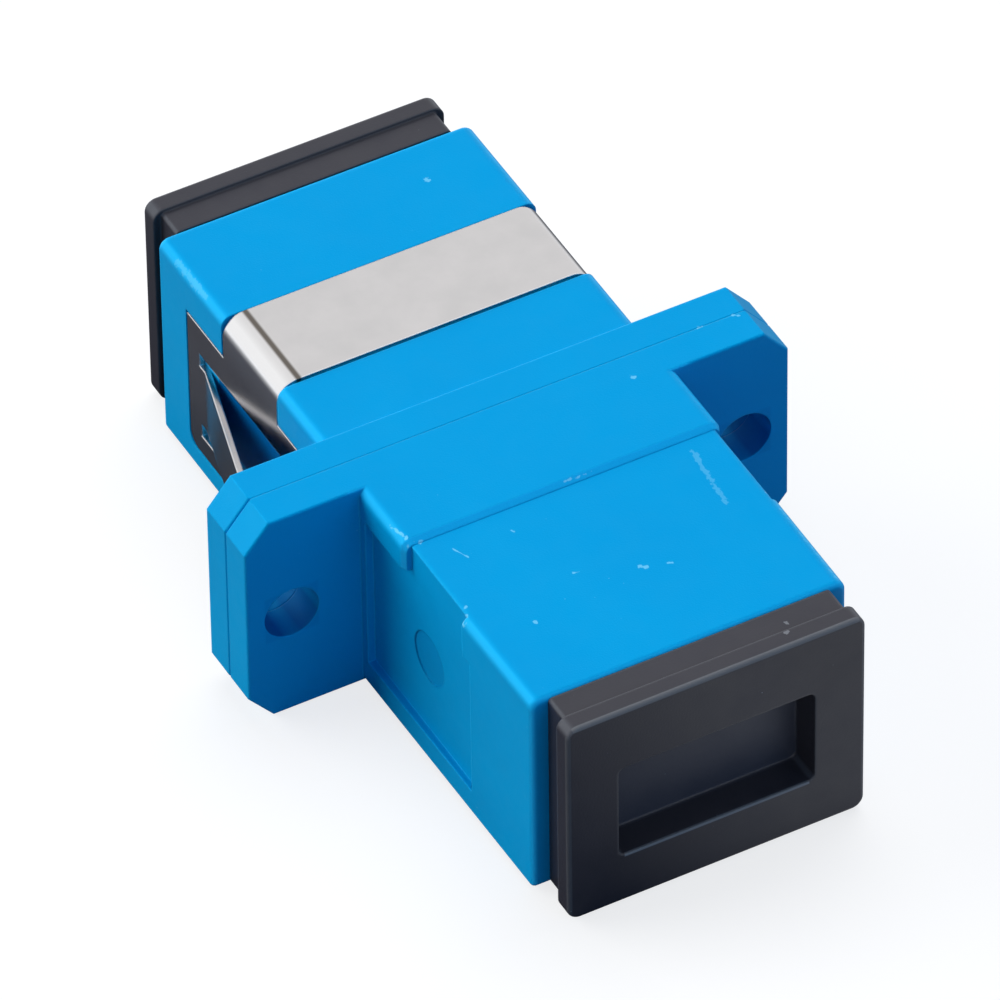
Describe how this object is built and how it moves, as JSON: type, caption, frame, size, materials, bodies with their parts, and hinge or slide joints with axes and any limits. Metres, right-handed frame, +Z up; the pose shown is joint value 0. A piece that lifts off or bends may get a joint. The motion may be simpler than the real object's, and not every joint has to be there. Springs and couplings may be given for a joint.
{
  "type": "flanged fibre adapter",
  "caption": "Blue flanged fibre connector adapter with a port at each end, a steel panel clip and black dust plugs that pull out.",
  "frame": {"origin": "under the middle of the flange, at the level of its lower edge", "axes": "+X across the flange, +Y along the ports towards the end with the panel clip, +Z up"},
  "size_m": [0.0226, 0.0324, 0.0096],
  "materials": {
    "housing": "moulded satin blue",
    "clip_steel": "bright rolled stainless spring sheet",
    "latch_plastic": "natural moulded",
    "zirconia": "ground white",
    "plug_plastic": "satin black moulded"
  },
  "bodies": {
    "housing": {"housing_front": "housing", "housing_rear": "housing", "panel_clip": "clip_steel", "front_inner_latch": "latch_plastic", "rear_inner_latch": "latch_plastic", "alignment_sleeve": "zirconia"},
    "front_plug": {"front_dust_plug": "plug_plastic"},
    "rear_plug": {"rear_dust_plug": "plug_plastic"}
  },
  "joints": [
    {"name": "front_plug_slide", "type": "slide", "parent": "housing", "child": "front_plug", "axis": [0, -1, 0], "range_m": [0, 0.02]},
    {"name": "rear_plug_slide", "type": "slide", "parent": "housing", "child": "rear_plug", "axis": [0, 1, 0], "range_m": [0, 0.02]}
  ]
}
